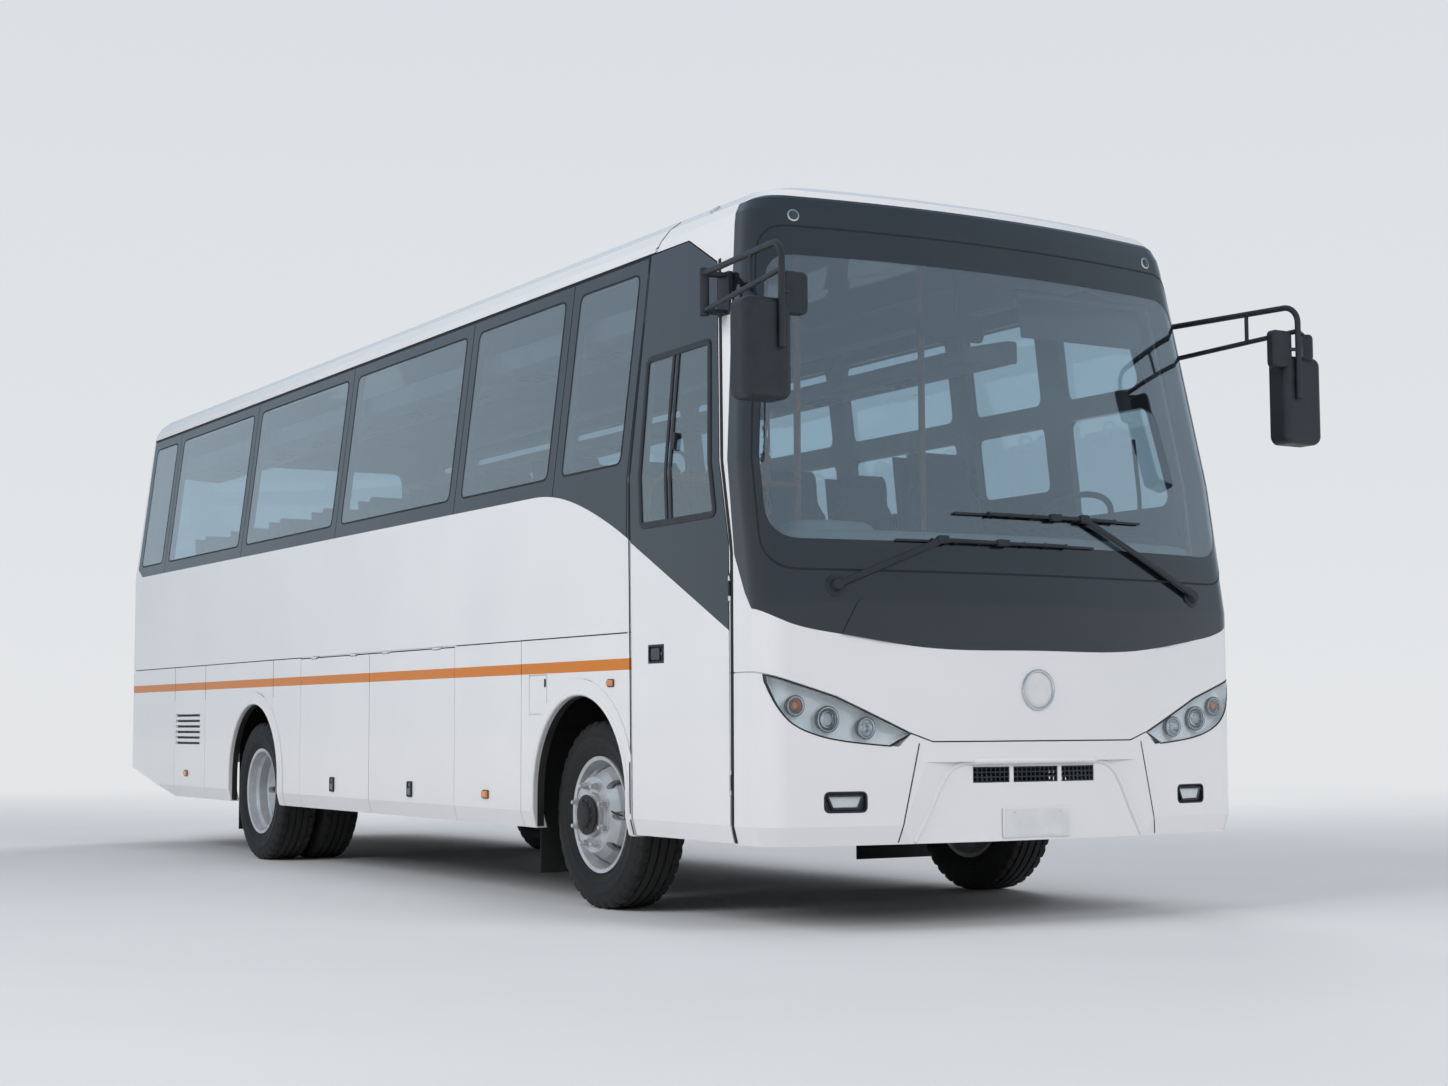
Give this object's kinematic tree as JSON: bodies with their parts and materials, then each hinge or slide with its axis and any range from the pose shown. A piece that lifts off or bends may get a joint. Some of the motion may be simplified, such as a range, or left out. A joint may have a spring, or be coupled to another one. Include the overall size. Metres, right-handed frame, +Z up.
{
  "type": "coach bus",
  "caption": "Single-deck midi coach with a full-width windscreen, dark window band, passenger door ahead of the front axle, underfloor luggage lockers and arm-mounted mirrors.",
  "frame": {"origin": "on the ground under the middle of the coach's overall box", "axes": "+X towards the nose, +Y to the vehicle's left, +Z up"},
  "size_m": [9.066, 3.005, 3.11],
  "materials": {
    "white_paint": "gloss",
    "dark_band_paint": "gloss",
    "black_mask": "gloss",
    "tinted_glass": "gloss",
    "windscreen_glass": "gloss",
    "lamp_lens": "gloss",
    "tail_lens": "gloss",
    "black_plastic": "satin",
    "grey_plastic": "matte",
    "mirror_silver": "gloss",
    "chassis_black": "satin",
    "cast_grey": "matte",
    "wheel_silver": "gloss",
    "tyre_rubber": "matte",
    "flap_rubber": "matte",
    "seat_fabric": "matte",
    "floor_lining": "matte",
    "rail_orange": "gloss",
    "seat_leg_grey": "satin",
    "locker_sheet": "matte"
  },
  "bodies": {
    "body": {"chassis_rails": "chassis_black", "cross_members": "chassis_black", "dashboard": "grey_plastic", "driver_seat": "seat_fabric", "engine_block": "cast_grey", "entrance_steps": "floor_lining", "floor": "floor_lining", "floor_bearers": "chassis_black", "front_axle": "chassis_black", "front_bumper": "white_paint", "front_lamps": "lamp_lens", "front_mask": "black_mask", "front_moulding": "white_paint", "fuel_tank": "chassis_black", "grille": "black_plastic", "handrails": "rail_orange", "left_side": "white_paint", "left_window_band": "dark_band_paint", "lockers": "locker_sheet", "mirror_glass": "mirror_silver", "mirrors": "black_plastic", "mudflaps": "flap_rubber", "passenger_seats": "seat_fabric", "rear_axle": "chassis_black", "rear_bumper": "white_paint", "rear_moulding": "white_paint", "rear_window": "tinted_glass", "right_side": "white_paint", "right_window_band": "dark_band_paint", "roof": "white_paint", "seat_frames": "seat_leg_grey", "side_panes": "tinted_glass", "steering_wheel": "black_plastic", "tail_lamps": "tail_lens", "windscreen": "windscreen_glass", "wipers": "black_plastic"},
    "passenger_door": {"passenger_door": "white_paint", "passenger_door_pane": "tinted_glass"},
    "left_front_locker_door": {"left_front_locker_door": "white_paint"},
    "left_rear_locker_door": {"left_rear_locker_door": "white_paint"},
    "left_knuckle": {"left_knuckle": "cast_grey"},
    "front_left_wheel": {"front_left_tyre": "tyre_rubber", "front_left_rim": "wheel_silver"},
    "rear_left_wheels": {"rear_left_tyres": "tyre_rubber", "rear_left_rims": "wheel_silver"},
    "right_front_locker_door": {"right_front_locker_door": "white_paint"},
    "right_rear_locker_door": {"right_rear_locker_door": "white_paint"},
    "right_knuckle": {"right_knuckle": "cast_grey"},
    "front_right_wheel": {"front_right_tyre": "tyre_rubber", "front_right_rim": "wheel_silver"},
    "rear_right_wheels": {"rear_right_tyres": "tyre_rubber", "rear_right_rims": "wheel_silver"},
    "engine_lid": {"engine_lid": "white_paint"}
  },
  "joints": [
    {"name": "steer_left", "type": "hinge", "parent": "body", "child": "left_knuckle", "pos_m": [2.6355, 0.87, 0.4], "axis": [0, 0, 1], "range_deg": [-35, 35]},
    {"name": "front_left_roll", "type": "hinge", "parent": "left_knuckle", "child": "front_left_wheel", "pos_m": [2.6355, 1.027, 0.419], "axis": [0, 1, 0], "continuous": true},
    {"name": "rear_left_roll", "type": "hinge", "parent": "body", "child": "rear_left_wheels", "pos_m": [-1.7395, 1.08, 0.419], "axis": [0, 1, 0], "continuous": true},
    {"name": "steer_right", "type": "hinge", "parent": "body", "child": "right_knuckle", "pos_m": [2.6355, -0.87, 0.4], "axis": [0, 0, 1], "range_deg": [-35, 35]},
    {"name": "front_right_roll", "type": "hinge", "parent": "right_knuckle", "child": "front_right_wheel", "pos_m": [2.6355, -1.027, 0.419], "axis": [0, 1, 0], "continuous": true},
    {"name": "rear_right_roll", "type": "hinge", "parent": "body", "child": "rear_right_wheels", "pos_m": [-1.7395, -1.08, 0.419], "axis": [0, 1, 0], "continuous": true},
    {"name": "passenger_door_swing", "type": "hinge", "parent": "body", "child": "passenger_door", "pos_m": [3.9445, -1.241, 0.945], "axis": [0, 0, 1], "range_deg": [0, 85]},
    {"name": "left_rear_locker_swing", "type": "hinge", "parent": "body", "child": "left_rear_locker_door", "pos_m": [-0.3945, 1.235, 1.209], "axis": [1, 0, 0], "range_deg": [0, 80]},
    {"name": "left_front_locker_swing", "type": "hinge", "parent": "body", "child": "left_front_locker_door", "pos_m": [0.708, 1.235, 1.209], "axis": [1, 0, 0], "range_deg": [0, 80]},
    {"name": "right_rear_locker_swing", "type": "hinge", "parent": "body", "child": "right_rear_locker_door", "pos_m": [-0.3945, -1.235, 1.209], "axis": [-1, 0, 0], "range_deg": [0, 80]},
    {"name": "right_front_locker_swing", "type": "hinge", "parent": "body", "child": "right_front_locker_door", "pos_m": [0.708, -1.235, 1.209], "axis": [-1, 0, 0], "range_deg": [0, 80]},
    {"name": "engine_lid_swing", "type": "hinge", "parent": "body", "child": "engine_lid", "pos_m": [-4.5305, 0, 1.327], "axis": [0, 1, 0], "range_deg": [0, 75]}
  ],
  "couplings": [
    {"joint": "steer_right", "follows": "steer_left", "ratio": 1}
  ]
}
